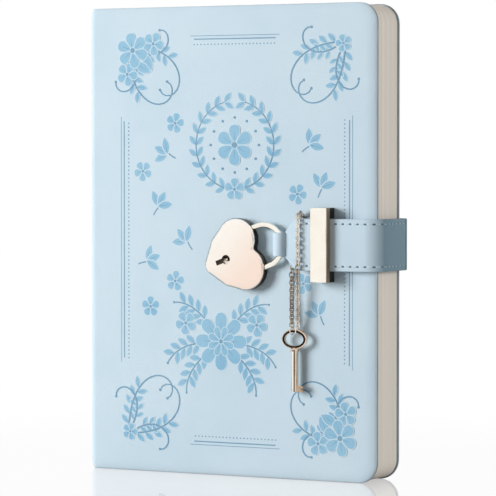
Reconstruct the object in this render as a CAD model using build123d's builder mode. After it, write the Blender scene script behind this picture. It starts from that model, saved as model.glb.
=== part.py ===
from build123d import *
import math
import os

os.makedirs("parts", exist_ok=True)

# A lockable diary standing upright, in millimetres: +Z up, front cover towards -Y, spine towards -X.

# Sides of thin wires, pins and screws, which stand for a round section
round_sides = 12

# Case: two stiff boards and a spine strip wrapped in soft artificial leather
cover_height = 213.0
cover_width = 148.0
book_thickness = 25.0
corner_radius = 9.0
spine_radius = 3.5
rim_bevel = 0.5
skin_thickness = 0.7
board_thickness = 1.5
board_play = 0.05
turn_in_thickness = 0.35
turn_in_width = 14.0
turn_in_corner = 3.0
hinge_inset = 5.0
joint_gap = 0.3

# Pages: a glued block whose front leaves turn on lines that step away from the spine
cover_overhang = 0.6
spine_board_thickness = 1.5
spine_lining_thickness = 0.3
flyleaf_thickness = 0.3
signature_thickness = 2.4
leaf_gap = 0.15
cover_swing = 175.0
flyleaf_share = 0.6
first_signature_share = 0.4

# Strap: two sewn plies that leave the back cover, round the fore-edge and lie over the front cover
clasp_height = 105.6
strap_width = 23.2
strap_ply = 0.9
strap_gap = 2.6
strap_fore_gap = 2.0
strap_bend_radius = 5.8
strap_cut_gap = 0.3
anchor_length = 42.0
tongue_inset = 45.7
tongue_taper = 3.4
tongue_shoulder = 14.0
loop_height = 9.0
loop_play = 0.15

# Clasp bar: a fixed bridge that the strap slides under, held by two screws from inside the board
bar_inset = 24.5
bar_width = 8.0
bar_height = 33.0
bar_plate = 3.8
bar_clearance = 0.4
bar_bevel = 0.6
screw_radius = 1.2
screw_play = 0.05
screw_reach = 4.0
screw_head_radius = 2.4
screw_head_height = 0.8

# Heart padlock, on its own axis from the tip to the middle of the shackle
lock_tilt = 20.0
lock_drop = 0.6
case_thickness = 5.2
case_round = 1.7
case_slope = 1.0
case_back_round = 0.7
lobe_radius = 9.7
lobe_spread = 6.9
lobe_setback = 11.9
flank_radius = 9.1
flank_spread = 4.0
flank_setback = 17.5
tip_radius = 4.8
tip_setback = 26.1
notch_radius = 1.2
back_plate_rim = 1.6
back_plate_thickness = 1.0
plate_play = 0.05
shackle_radius = 9.3
shackle_wire = 1.3
leg_play = 0.05
heel_length = 14.5
heel_bore_depth = 20.0
toe_length = 7.6
toe_bore_depth = 9.0
catch_depth = 0.8
catch_low = 6.8
catch_high = 5.2
heel_pin_setback = 7.0
heel_pin_radius = 0.6
heel_pin_play = 0.2
release_travel = 5.0
keyhole_setback = 19.3
keyhole_radius = 2.1
keyhole_slot_width = 2.2
keyhole_slot_length = 5.3
chamber_radius = 5.4
front_wall = 1.0
post_radius = 0.8
post_sink = 0.5
latch_thickness = 1.1
latch_height = 2.4
latch_play = 0.2
latch_tail = 22.0
latch_spread = 6.3
spring_wall = 0.45

# Chain of flat-sided wire links, hung over the strap, and the key on its two ends
chain_front_inset = 35.8
chain_back_inset = 41.2
chain_drop_gap = 1.3
chain_turn_rise = 0.3
chain_play = 0.3
link_length = 3.0
link_width = 2.2
link_wire = 0.46
link_corner = 0.55
link_pitch = 1.85
ring_inner_radius = 1.6
ring_wire = 0.55
ring_spread = 2.8
ring_seat = 0.2
bow_z = 63.4
bow_width = 12.6
bow_height = 9.1
bow_band = 1.5
bow_thickness = 1.6
bow_bevel = 0.5
key_radius = 1.65
key_length = 19.0
barrel_radius = 0.95
barrel_depth = 8.0
collar_radius = 2.0
collar_height = 0.9
neck_radius = 1.3
bit_reach = 2.6
bit_height = 2.6
bit_thickness = 1.1
bit_cut = 0.9

# Where things lie: the origin is the middle of the whole object's base
cover_thickness = skin_thickness + board_thickness + turn_in_thickness
strap_thickness = 2 * strap_ply
strap_middle = strap_gap + strap_ply
bar_under = strap_gap + strap_thickness + bar_clearance
bar_top = bar_under + bar_plate
spine_x = -(cover_width + strap_fore_gap + strap_thickness) / 2
fore_x = spine_x + cover_width
front_y = (bar_top - strap_thickness - book_thickness) / 2
back_y = front_y + book_thickness
hinge_x = spine_x + hinge_inset
panel_left = hinge_x + joint_gap / 2
block_spine_x = spine_x + skin_thickness + spine_board_thickness + spine_lining_thickness
block_fore_x = fore_x - cover_overhang
strap_low = clasp_height - strap_width / 2
strap_high = clasp_height + strap_width / 2


def cover_plane(rise):
    """Plane that faces out of the front cover, at a height above its outer face (negative inside the book)."""
    return Plane.XZ.offset(rise - front_y)


def panel(left, right, inset, radius):
    """Outline seen from the front: square towards the spine, rounded at the two fore-edge corners."""
    with BuildSketch() as outline:
        with Locations(((left + right) / 2, cover_height / 2)):
            Rectangle(right - left, cover_height - 2 * inset)
        fillet(outline.vertices().group_by(Axis.X)[-1], radius)
    return outline.sketch


def cover_skin(outer, inward):
    """Leather round one board: outer sheet, edges and turned-in rim, with the board's pocket inside."""
    with BuildPart() as skin:
        with BuildSketch(cover_plane(outer)):
            add(panel(panel_left, fore_x, 0, corner_radius))
        extrude(amount=inward * cover_thickness)
        outer_face = skin.faces().sort_by(Axis.Y)[0 if inward < 0 else -1]
        chamfer(outer_face.edges().sort_by(Axis.X)[1:], rim_bevel)
        with BuildSketch(cover_plane(outer + inward * skin_thickness)):
            add(board_outline(0))
        extrude(amount=inward * board_thickness, mode=Mode.SUBTRACT)
        with BuildSketch(cover_plane(outer + inward * (skin_thickness + board_thickness))):
            add(pastedown_outline(0))
        extrude(amount=inward * turn_in_thickness, mode=Mode.SUBTRACT)
    return skin.part


def board_outline(play):
    """A board inside the skin's turned edges."""
    inset = skin_thickness + play
    return panel(panel_left + inset, fore_x - inset, inset, corner_radius - inset)


def pastedown_outline(play):
    """The endpaper inside the turned-in rim; at the hinge it runs to the board's edge."""
    inset = turn_in_width + play
    return panel(panel_left + skin_thickness + play, fore_x - inset, inset, turn_in_corner)


def screw_spots():
    """Centres of the two bar screws, seen from the front: in the middle of the bar's legs."""
    leg_middle = (strap_width / 2 + bar_clearance + bar_height / 2) / 2
    return [(bar_x, clasp_height - leg_middle), (bar_x, clasp_height + leg_middle)]


bar_x = fore_x - bar_inset

# Front cover
with BuildPart() as front_cover_skin:
    add(cover_skin(0, -1))
    with BuildSketch(cover_plane(0)):
        with Locations(*screw_spots()):
            RegularPolygon(screw_radius + screw_play, round_sides)
    extrude(amount=-skin_thickness, mode=Mode.SUBTRACT)

with BuildPart() as front_board:
    with BuildSketch(cover_plane(-skin_thickness)):
        add(board_outline(board_play))
    extrude(amount=-board_thickness)
    with BuildSketch(cover_plane(-skin_thickness)):
        with Locations(*screw_spots()):
            RegularPolygon(screw_radius + screw_play, round_sides)
    extrude(amount=-board_thickness, mode=Mode.SUBTRACT)
    with BuildSketch(cover_plane(-skin_thickness - board_thickness)):
        with Locations(*screw_spots()):
            RegularPolygon(screw_head_radius + screw_play, round_sides)
    extrude(amount=screw_head_height, mode=Mode.SUBTRACT)

with BuildPart() as front_pastedown:
    with BuildSketch(cover_plane(-cover_thickness)):
        add(pastedown_outline(board_play))
    extrude(amount=turn_in_thickness)

# Back cover
with BuildPart() as back_cover_skin:
    add(cover_skin(-book_thickness, 1))

with BuildPart() as back_board:
    with BuildSketch(cover_plane(skin_thickness - book_thickness)):
        add(board_outline(board_play))
    extrude(amount=board_thickness)

with BuildPart() as back_pastedown:
    with BuildSketch(cover_plane(cover_thickness - book_thickness)):
        add(pastedown_outline(board_play))
    extrude(amount=-turn_in_thickness)

# Spine: a rounded leather channel over a stiff strip
spine_inner_x = spine_x + skin_thickness + spine_board_thickness
strip_end_x = hinge_x - joint_gap / 2
spine_middle_y = front_y + book_thickness / 2
with BuildPart() as spine_skin:
    with BuildSketch() as channel:
        with Locations(((spine_x + strip_end_x) / 2, spine_middle_y)):
            Rectangle(strip_end_x - spine_x, book_thickness)
        fillet(channel.vertices().group_by(Axis.X)[0], spine_radius)
        with Locations(((spine_inner_x + strip_end_x) / 2, spine_middle_y)):
            Rectangle(
                strip_end_x - spine_inner_x,
                book_thickness - 2 * skin_thickness,
                mode=Mode.SUBTRACT,
            )
    extrude(amount=cover_height)
    with BuildSketch(Plane.XY.offset(skin_thickness)):
        with Locations((spine_x + skin_thickness + spine_board_thickness / 2, spine_middle_y)):
            Rectangle(spine_board_thickness, book_thickness - 2 * spine_radius)
    extrude(amount=cover_height - 2 * skin_thickness, mode=Mode.SUBTRACT)

with BuildPart() as spine_board:
    with BuildSketch(Plane.XY.offset(skin_thickness + board_play)):
        with Locations((spine_x + skin_thickness + spine_board_thickness / 2, spine_middle_y)):
            Rectangle(spine_board_thickness, book_thickness - 2 * spine_radius - 2 * board_play)
    extrude(amount=cover_height - 2 * (skin_thickness + board_play))

with BuildPart() as spine_lining:
    with BuildSketch(Plane.XY.offset(cover_overhang)):
        with Locations((spine_inner_x + spine_lining_thickness / 2, spine_middle_y)):
            Rectangle(spine_lining_thickness, book_thickness - 2 * cover_thickness)
    extrude(amount=cover_height - 2 * cover_overhang)


# Pages
def leaf_setback(thickness, share):
    """How much further from the spine the next leaf hinges, so that a turned one clears it."""
    turn = min(cover_swing * share, 90.0)
    return thickness * math.tan(math.radians(turn / 2)) + leaf_gap


page_corner = corner_radius - cover_overhang
flyleaf_hinge_x = hinge_x + leaf_setback(cover_thickness, 1.0)
first_hinge_x = flyleaf_hinge_x + leaf_setback(flyleaf_thickness, flyleaf_share)
second_hinge_x = first_hinge_x + leaf_setback(signature_thickness, first_signature_share)
flyleaf_front = -cover_thickness
first_front = flyleaf_front - flyleaf_thickness
second_front = first_front - signature_thickness
block_front = second_front - signature_thickness
leaf_steps = [
    (flyleaf_front, flyleaf_thickness, flyleaf_hinge_x),
    (first_front, signature_thickness, first_hinge_x),
    (second_front, signature_thickness, second_hinge_x),
]


def leaf_solid(front, thickness, left):
    """A leaf, or a folded section of leaves, from its hinge line to the fore-edge."""
    with BuildPart() as leaf:
        with BuildSketch(cover_plane(front)):
            add(panel(left, block_fore_x, cover_overhang, page_corner))
        extrude(amount=-thickness)
    return leaf.part


with BuildPart() as front_flyleaf:
    add(leaf_solid(flyleaf_front, flyleaf_thickness, flyleaf_hinge_x))

with BuildPart() as first_signature:
    add(leaf_solid(first_front, signature_thickness, first_hinge_x))

with BuildPart() as second_signature:
    add(leaf_solid(second_front, signature_thickness, second_hinge_x))

with BuildPart() as text_block:
    with BuildSketch(cover_plane(block_front)):
        add(panel(block_spine_x, block_fore_x, cover_overhang, page_corner))
    extrude(amount=cover_thickness - book_thickness - block_front)
    for front, thickness, left in leaf_steps:
        with BuildSketch(cover_plane(front)):
            with Locations(((block_spine_x + left - leaf_gap) / 2, cover_height / 2)):
                Rectangle(left - leaf_gap - block_spine_x, cover_height - 2 * cover_overhang)
        extrude(amount=-thickness)

# Strap: the face ply carries the tongue loop, the lining ply lies behind it
bend_x = fore_x + strap_fore_gap - strap_bend_radius
bend_y = front_y - strap_gap + strap_bend_radius
back_bend_y = back_y - strap_fore_gap
loop_x = fore_x - tongue_inset
wire_reach = shackle_radius + shackle_wire
wire_inside = math.sqrt((shackle_radius - shackle_wire) ** 2 - (loop_height / 2 + lock_drop) ** 2)
loop_inner_radius = (wire_reach - wire_inside) / 2 + loop_play
loop_outer_radius = loop_inner_radius + strap_ply
shackle_x = loop_x - (wire_reach + wire_inside) / 2


def strap_front(rise):
    """One ply over the front cover, tapered to the tongue, and round the front corner of the fore-edge."""
    left = loop_x + (loop_inner_radius + loop_outer_radius) / 2
    taper_end = left + tongue_taper
    with BuildPart() as ply:
        with BuildSketch(cover_plane(strap_gap + rise)):
            with BuildLine():
                Polyline(
                    (left, clasp_height - tongue_shoulder / 2),
                    (taper_end, strap_low),
                    (bend_x, strap_low),
                    (bend_x, strap_high),
                    (taper_end, strap_high),
                    (left, clasp_height + tongue_shoulder / 2),
                    close=True,
                )
            make_face()
        extrude(amount=strap_ply)
        with BuildSketch(Plane.YZ.offset(bend_x)):
            with Locations((front_y - strap_gap - rise - strap_ply / 2, clasp_height)):
                Rectangle(strap_ply, strap_width)
        revolve(axis=Axis((bend_x, bend_y, 0), (0, 0, 1)), revolution_arc=90)
    return ply.part


def strap_side(rise):
    """One ply along the fore-edge, free at both bends."""
    with BuildPart() as ply:
        with BuildSketch(Plane.XY.offset(strap_low)):
            with Locations((fore_x + strap_fore_gap + rise + strap_ply / 2, (bend_y + back_bend_y) / 2)):
                Rectangle(strap_ply, back_bend_y - bend_y - 2 * strap_cut_gap)
        extrude(amount=strap_width)
    return ply.part


def strap_anchor(rise):
    """One ply round the back corner of the fore-edge and sewn along the back cover."""
    with BuildPart() as ply:
        with BuildSketch(Plane.XZ.offset(-back_bend_y)):
            with Locations((fore_x + strap_fore_gap + rise + strap_ply / 2, clasp_height)):
                Rectangle(strap_ply, strap_width)
        revolve(axis=Axis((fore_x, back_bend_y, 0), (0, 0, 1)), revolution_arc=90)
        with BuildSketch(cover_plane(-book_thickness - rise)):
            with Locations((fore_x - anchor_length / 2, clasp_height)):
                Rectangle(anchor_length, strap_width)
        extrude(amount=-strap_ply)
    return ply.part


with BuildPart() as strap_front_face:
    add(strap_front(strap_ply))
    with BuildSketch(Plane.XY.offset(clasp_height - loop_height / 2)):
        with Locations((loop_x, front_y - strap_middle)):
            Circle(loop_outer_radius)
            Circle(loop_inner_radius, mode=Mode.SUBTRACT)
    extrude(amount=loop_height)

with BuildPart() as strap_front_lining:
    add(strap_front(0))
    split(bisect_by=Plane.YZ.offset(loop_x + loop_outer_radius + loop_play), keep=Keep.TOP)

with BuildPart() as strap_side_face:
    add(strap_side(strap_ply))

with BuildPart() as strap_side_lining:
    add(strap_side(0))

with BuildPart() as strap_anchor_face:
    add(strap_anchor(strap_ply))

with BuildPart() as strap_anchor_lining:
    add(strap_anchor(0))

# Clasp bar and its screws
window_height = strap_width + 2 * bar_clearance
with BuildPart() as clasp_bar:
    with BuildSketch(Plane.YZ.offset(bar_x - bar_width / 2)):
        with Locations((front_y - bar_top / 2, clasp_height)):
            Rectangle(bar_top, bar_height)
        with Locations((front_y - bar_under / 2, clasp_height)):
            Rectangle(bar_under, window_height, mode=Mode.SUBTRACT)
    extrude(amount=bar_width)
    chamfer(clasp_bar.faces().sort_by(Axis.Y)[0].edges(), bar_bevel)
    with BuildSketch(cover_plane(0)):
        with Locations(*screw_spots()):
            RegularPolygon(screw_radius + screw_play, round_sides)
    extrude(amount=screw_reach, mode=Mode.SUBTRACT)

with BuildPart() as bar_screws:
    with BuildSketch(cover_plane(-skin_thickness - board_thickness)):
        with Locations(*screw_spots()):
            RegularPolygon(screw_head_radius, round_sides)
    extrude(amount=screw_head_height)
    with BuildSketch(cover_plane(-skin_thickness - board_thickness)):
        with Locations(*screw_spots()):
            RegularPolygon(screw_radius, round_sides)
    extrude(amount=skin_thickness + board_thickness + screw_reach)

# Heart padlock
lock_axis = (math.cos(math.radians(lock_tilt)), 0, math.sin(math.radians(lock_tilt)))
case_bottom = strap_middle - case_thickness / 2
case_top = strap_middle + case_thickness / 2


def lock_plane(rise):
    """Plane of the padlock: X runs from the tip to the shackle, from the centre of the shackle's bend."""
    origin = (shackle_x, front_y - rise, clasp_height - lock_drop)
    return Plane(origin=origin, x_dir=lock_axis, z_dir=(0, -1, 0))


def leg_plane(side):
    """Plane across one shackle leg, facing into the case, at the ends of the shackle's bend."""
    middle = lock_plane(strap_middle)
    return Plane(origin=middle.from_local_coords((0, side * shackle_radius, 0)), z_dir=-middle.x_dir)


def heart(inset):
    """Heart outline: each half is the hull of a lobe, a full flank and the rounded tip."""
    with BuildSketch() as half:
        with Locations((-lobe_setback, lobe_spread)):
            Circle(lobe_radius - inset)
        with Locations((-flank_setback, flank_spread)):
            Circle(flank_radius - inset)
        with Locations((-tip_setback, 0)):
            Circle(tip_radius - inset)
        make_hull(half.edges())
    with BuildSketch() as whole:
        add(half.sketch)
        mirror(half.sketch, about=Plane.XZ)
        on_axis = [corner for corner in whole.vertices() if abs(corner.Y) < plate_play]
        fillet(max(on_axis, key=lambda corner: corner.X), notch_radius + inset)
    return whole.sketch


heel_side, toe_side = 1, -1
plate_top = case_bottom + back_plate_thickness
chamber_top = case_top - front_wall
catch_floor = -shackle_radius + shackle_wire - catch_depth


def latch_outline(play, lift):
    """Spring leaf beside the key's chamber, with a nose that stands in the toe's catch."""
    tail, end = -latch_tail - play, -catch_high - latch_play + play
    low, high = -latch_spread - play, -latch_spread + latch_thickness + play + lift
    nose_low, nose_tail = catch_floor + latch_play - play, -catch_low + latch_play - play
    with BuildSketch() as outline:
        with Locations(((tail + end) / 2, (low + high) / 2)):
            Rectangle(end - tail, high - low)
        with Locations(((nose_tail + end) / 2, (nose_low + high) / 2)):
            Rectangle(end - nose_tail, high - nose_low)
    return outline.sketch


with BuildPart() as lock_case:
    with BuildSketch(lock_plane(case_bottom)):
        add(heart(0))
    extrude(amount=case_thickness)
    chamfer(lock_case.faces().sort_by(Axis.Y)[0].edges(), case_slope, case_round)
    chamfer(lock_case.faces().sort_by(Axis.Y)[0].edges(), case_slope / 2, case_round)
    chamfer(lock_case.faces().sort_by(Axis.Y)[-1].edges(), case_back_round)
    with BuildSketch(lock_plane(case_bottom)):
        add(heart(back_plate_rim))
    extrude(amount=back_plate_thickness, mode=Mode.SUBTRACT)
    with BuildSketch(lock_plane(plate_top)):
        with Locations((-keyhole_setback, 0)):
            Circle(chamber_radius)
        add(latch_outline(latch_play, catch_depth))
    extrude(amount=chamber_top - plate_top, mode=Mode.SUBTRACT)
    with BuildSketch(lock_plane(plate_top)):
        with Locations((-heel_pin_setback, shackle_radius + shackle_wire)):
            RegularPolygon(heel_pin_radius + plate_play, round_sides)
    extrude(amount=chamber_top - plate_top, mode=Mode.SUBTRACT)
    with BuildSketch(lock_plane(chamber_top)):
        with Locations((-keyhole_setback, 0)):
            Circle(keyhole_radius)
        with Locations((-keyhole_setback - keyhole_slot_length / 2, 0)):
            Rectangle(keyhole_slot_length, keyhole_slot_width)
    extrude(amount=front_wall, mode=Mode.SUBTRACT)
    with BuildSketch(leg_plane(heel_side)):
        Circle(shackle_wire + leg_play)
    extrude(amount=heel_bore_depth, mode=Mode.SUBTRACT)
    with BuildSketch(leg_plane(toe_side)):
        Circle(shackle_wire + leg_play)
    extrude(amount=toe_bore_depth, mode=Mode.SUBTRACT)

with BuildPart() as lock_back_plate:
    with BuildSketch(lock_plane(case_bottom)):
        add(heart(back_plate_rim + plate_play))
    extrude(amount=back_plate_thickness)

with BuildPart() as key_post:
    with BuildSketch(lock_plane(plate_top)):
        with Locations((-keyhole_setback, 0)):
            Circle(post_radius)
    extrude(amount=case_top - post_sink - plate_top)
    chamfer(key_post.faces().sort_by(Axis.Y)[0].edges(), post_radius / 2)

with BuildPart() as heel_pin:
    with BuildSketch(lock_plane(plate_top)):
        with Locations((-heel_pin_setback, shackle_radius + shackle_wire)):
            RegularPolygon(heel_pin_radius, round_sides)
    extrude(amount=chamber_top - plate_top)

with BuildPart() as latch_leaf:
    with BuildSketch(lock_plane(strap_middle - latch_height / 2)):
        add(latch_outline(0, 0))
    extrude(amount=latch_height)

with BuildPart() as shackle_spring:
    with BuildSketch(leg_plane(heel_side).offset(heel_length)):
        RegularPolygon(shackle_wire, round_sides)
        RegularPolygon(shackle_wire - spring_wall, round_sides, mode=Mode.SUBTRACT)
    extrude(amount=heel_bore_depth - heel_length)

with BuildPart() as shackle:
    with BuildSketch(leg_plane(heel_side)):
        RegularPolygon(shackle_wire, round_sides)
    revolve(axis=Axis(lock_plane(strap_middle).origin, (0, 1, 0)), revolution_arc=180)
    for side, length in ((heel_side, heel_length), (toe_side, toe_length)):
        with BuildSketch(leg_plane(side)):
            RegularPolygon(shackle_wire, round_sides)
        extrude(amount=length)
    groove_end = heel_pin_setback - heel_pin_radius - heel_pin_play
    groove_length = release_travel + 2 * (heel_pin_radius + heel_pin_play)
    with BuildSketch(lock_plane(strap_middle)):
        with Locations((-groove_end - groove_length / 2, shackle_radius + shackle_wire)):
            Rectangle(groove_length, 2 * (heel_pin_radius + heel_pin_play))
        with Locations((-(catch_low + catch_high) / 2, catch_floor + catch_depth)):
            Rectangle(catch_low - catch_high, 2 * catch_depth)
    extrude(amount=2 * shackle_wire, both=True, mode=Mode.SUBTRACT)

# Key: an open oval bow, a turned shoulder and a hollow barrel with one bit
chain_front_x = fore_x - chain_front_inset
chain_back_x = fore_x - chain_back_inset
chain_front_rise = strap_gap + strap_thickness + link_width / 2 + chain_play
chain_back_rise = strap_gap / 2
key_x = (chain_front_x + chain_back_x) / 2
key_rise = (chain_front_rise + chain_back_rise) / 2
key_y = front_y - key_rise
bow_low = bow_z - bow_height / 2
shoulder_top = bow_low + bow_band / 2
shoulder_low = bow_low - collar_height
tip_z = bow_low - key_length
with BuildPart() as key:
    with BuildSketch(cover_plane(key_rise - bow_thickness / 2)):
        with Locations((key_x, bow_z)):
            Ellipse(bow_width / 2, bow_height / 2)
            Ellipse(bow_width / 2 - bow_band, bow_height / 2 - bow_band, mode=Mode.SUBTRACT)
    extrude(amount=bow_thickness)
    chamfer(key.edges().group_by(SortBy.LENGTH)[-1], bow_bevel)
    with BuildSketch(cover_plane(key_rise)):
        with BuildLine():
            Polyline(
                (key_x, tip_z),
                (key_x + key_radius, tip_z),
                (key_x + key_radius, shoulder_low),
                (key_x + collar_radius, shoulder_low),
                (key_x + collar_radius, bow_low),
                (key_x + neck_radius, shoulder_top),
                (key_x, shoulder_top),
                close=True,
            )
        make_face()
    revolve(axis=Axis((key_x, key_y, 0), (0, 0, 1)))
    with BuildSketch(cover_plane(key_rise - bit_thickness / 2)):
        with Locations((key_x + (key_radius + bit_reach) / 2, tip_z + bit_height / 2)):
            Rectangle(key_radius + bit_reach, bit_height)
        with Locations((key_x + key_radius + bit_reach - bit_cut / 2, tip_z + bit_height / 2)):
            Rectangle(bit_cut, bit_cut, mode=Mode.SUBTRACT)
    extrude(amount=bit_thickness)
    with BuildSketch(Plane.XY.offset(tip_z)):
        with Locations((key_x, key_y)):
            Circle(barrel_radius)
    extrude(amount=barrel_depth, mode=Mode.SUBTRACT)

# Jump rings round the top of the bow, one for each strand
ring_middle_radius = ring_inner_radius + ring_wire / 2
bow_half_width = (bow_width - bow_band) / 2
bow_half_height = (bow_height - bow_band) / 2
bow_share = math.sqrt(1 - (ring_spread / 2 / bow_half_width) ** 2)
ring_z = bow_z + bow_half_height * bow_share + ring_seat
with BuildPart() as key_rings:
    for side in (-1, 1):
        with BuildSketch(Plane.YZ.offset(key_x + side * ring_spread / 2 - ring_wire / 2)):
            with Locations((key_y, ring_z)):
                RegularPolygon(ring_inner_radius + ring_wire, round_sides, major_radius=False)
                RegularPolygon(ring_inner_radius, round_sides, major_radius=False, mode=Mode.SUBTRACT)
        extrude(amount=ring_wire)

# Chain: each link stands a quarter turn from its neighbours, and the turn drifts along the way.
# The collar's link count puts its middle link edge-on over the strap, where the bend is tightest.
link_overlap = (link_length - link_wire - link_pitch) / 2
chain_pivot_z = strap_low - chain_drop_gap
chain_end_z = ring_z + ring_middle_radius - link_overlap
turn_radius = (chain_front_rise - chain_back_rise) / 2
turn_z = strap_high + chain_turn_rise
front_run = turn_z - chain_pivot_z
turn_run = math.pi * turn_radius
back_top = Vector(chain_front_x, front_y - chain_back_rise, turn_z)
back_end = Vector(chain_back_x, front_y - chain_back_rise, chain_pivot_z)
back_run = (back_end - back_top).length
front_end = Vector(chain_front_x, front_y - chain_front_rise, chain_pivot_z)
swing_turn = math.degrees(math.atan2(chain_front_rise - chain_back_rise, chain_front_x - chain_back_x))


def collar_point(travel):
    """Point of the loop round the strap, counted from the front strand's lower end."""
    if travel <= front_run:
        return front_end + Vector(0, 0, travel)
    if travel <= front_run + turn_run:
        angle = (travel - front_run) / turn_radius
        reach = turn_radius * (1 - math.cos(angle))
        return front_end + Vector(0, reach, front_run + turn_radius * math.sin(angle))
    return back_top + (back_end - back_top) * ((travel - front_run - turn_run) / back_run)


def link_planes(points, first_turn, last_turn, quarter):
    """One plane for each link between neighbouring points, with its length along the plane's normal."""
    planes = []
    count = len(points) - 1
    for step in range(count):
        along = (points[step + 1] - points[step]).normalized()
        level = (Vector(1, 0, 0) - along * along.X).normalized()
        drift = first_turn + (last_turn - first_turn) * step / (count - 1)
        turn = math.radians(drift + 90 * ((step + quarter) % 2))
        across = level * math.cos(turn) + along.cross(level) * math.sin(turn)
        middle = (points[step] + points[step + 1]) * 0.5
        planes.append(Plane(origin=middle, x_dir=across, z_dir=along))
    return planes


def spaced(start, end, count):
    """Evenly spaced points of a straight strand."""
    return [start + (end - start) * (step / count) for step in range(count + 1)]


with BuildPart() as link:
    with BuildSketch(Plane.XZ.offset(-link_wire / 2)) as link_outline:
        Rectangle(link_width, link_length)
        chamfer(link_outline.vertices(), link_corner)
        offset(amount=-link_wire, kind=Kind.INTERSECTION, mode=Mode.SUBTRACT)
    extrude(amount=link_wire)

collar_run = front_run + turn_run + back_run
collar_count = 4 * round((collar_run / link_pitch - 3) / 4) + 3
collar_points = [collar_point(collar_run * step / collar_count) for step in range(collar_count + 1)]
with BuildPart() as chain_collar:
    with Locations(*link_planes(collar_points, -swing_turn, swing_turn, 0)):
        add(link.part)

strand_count = 2 * math.ceil((chain_pivot_z - chain_end_z) / link_pitch / 2)
front_ring_end = Vector(key_x + ring_spread / 2, key_y, chain_end_z)
back_ring_end = Vector(key_x - ring_spread / 2, key_y, chain_end_z)
with BuildPart() as chain_front_strand:
    with Locations(*link_planes(spaced(front_end, front_ring_end, strand_count), swing_turn, 0, 1)):
        add(link.part)

with BuildPart() as chain_back_strand:
    with Locations(*link_planes(spaced(back_end, back_ring_end, strand_count), swing_turn, 0, 1)):
        add(link.part)

pieces = {
    "front_cover_skin": front_cover_skin,
    "front_board": front_board,
    "front_pastedown": front_pastedown,
    "back_cover_skin": back_cover_skin,
    "back_board": back_board,
    "back_pastedown": back_pastedown,
    "spine_skin": spine_skin,
    "spine_board": spine_board,
    "spine_lining": spine_lining,
    "front_flyleaf": front_flyleaf,
    "first_signature": first_signature,
    "second_signature": second_signature,
    "text_block": text_block,
    "strap_front_face": strap_front_face,
    "strap_front_lining": strap_front_lining,
    "strap_side_face": strap_side_face,
    "strap_side_lining": strap_side_lining,
    "strap_anchor_face": strap_anchor_face,
    "strap_anchor_lining": strap_anchor_lining,
    "clasp_bar": clasp_bar,
    "bar_screws": bar_screws,
    "lock_case": lock_case,
    "lock_back_plate": lock_back_plate,
    "key_post": key_post,
    "heel_pin": heel_pin,
    "latch_leaf": latch_leaf,
    "shackle_spring": shackle_spring,
    "shackle": shackle,
    "key": key,
    "key_rings": key_rings,
    "chain_collar": chain_collar,
    "chain_front_strand": chain_front_strand,
    "chain_back_strand": chain_back_strand,
}
for label, piece in pieces.items():
    piece.part.label = label
    export_step(piece.part, f"parts/{label}.step")
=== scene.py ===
import math

import bmesh
import bpy
import numpy as np
from mathutils import Matrix, Vector


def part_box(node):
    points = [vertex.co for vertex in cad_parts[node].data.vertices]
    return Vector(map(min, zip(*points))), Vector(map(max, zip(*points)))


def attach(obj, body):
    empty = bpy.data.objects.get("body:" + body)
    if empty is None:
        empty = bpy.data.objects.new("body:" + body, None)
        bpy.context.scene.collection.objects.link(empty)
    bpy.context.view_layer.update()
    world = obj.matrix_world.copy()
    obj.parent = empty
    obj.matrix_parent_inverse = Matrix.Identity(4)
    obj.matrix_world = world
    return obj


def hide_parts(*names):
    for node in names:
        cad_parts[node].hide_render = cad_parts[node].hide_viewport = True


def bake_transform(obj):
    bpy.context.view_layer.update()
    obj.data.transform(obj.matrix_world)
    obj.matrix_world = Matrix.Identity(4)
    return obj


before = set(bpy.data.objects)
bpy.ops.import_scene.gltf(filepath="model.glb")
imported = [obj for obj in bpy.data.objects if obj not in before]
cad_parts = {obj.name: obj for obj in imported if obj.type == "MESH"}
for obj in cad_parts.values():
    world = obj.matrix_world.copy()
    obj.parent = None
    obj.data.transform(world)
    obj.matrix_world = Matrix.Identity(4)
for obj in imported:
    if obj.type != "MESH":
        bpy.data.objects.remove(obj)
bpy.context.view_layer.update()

# A lockable diary standing upright; lengths are in metres, and MM makes a millimetre of a number
MM = 0.001

# Case: places read from the frame, then the leather's own thickness and curves
front_low, front_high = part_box("front_cover_skin")
back_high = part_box("back_cover_skin")[1]
spine_low, spine_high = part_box("spine_skin")
front_y, back_y = front_low.y, back_high.y
spine_x, fore_x = spine_low.x, front_high.x
cover_height = front_high.z
spine_middle_y = (front_y + back_y) / 2
hinge_x = (spine_high.x + front_low.x) / 2
case_thickness = 2.5 * MM
corner_radius = 9.0 * MM
spine_radius = 3.5 * MM
rim_depth = 1.3 * MM
front_rim_reach = 5.6 * MM
back_rim_reach = 1.3 * MM
inner_rim = 0.3 * MM
hinge_leather = 1.4 * MM
corner_segments = 12
rim_segments = 8
inner_rim_segments = 2
off_spine_middle = 0.001 * MM

# Strap: places read from the frame, then its thickness, its bend and where the painted shade on the side
# past the bend sets in
strap_low, strap_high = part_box("strap_front_face")
lining_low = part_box("strap_front_lining")[0]
flap_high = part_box("strap_side_face")[1]
anchor_low, anchor_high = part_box("strap_anchor_face")
strap_thickness = 1.8 * MM
strap_rim = 0.45 * MM
strap_rim_segments = 3
strap_outer_y = lining_low.y - strap_thickness / 2
strap_outer_x = flap_high.x
bend_outer_radius = 7.6 * MM
shade_x = (strap_outer_x - 0.6 * bend_outer_radius, strap_outer_x - 0.2 * bend_outer_radius)
shade_y = (strap_outer_y + 0.05 * bend_outer_radius, strap_outer_y + 0.85 * bend_outer_radius)
clasp_z = (strap_low.z + strap_high.z) / 2
strap_half_width = (strap_high.z - strap_low.z) / 2

# Padlock, read from the frame
lock_low, lock_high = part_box("lock_case")
lock_width, lock_height = lock_high.x - lock_low.x, lock_high.z - lock_low.z


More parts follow.
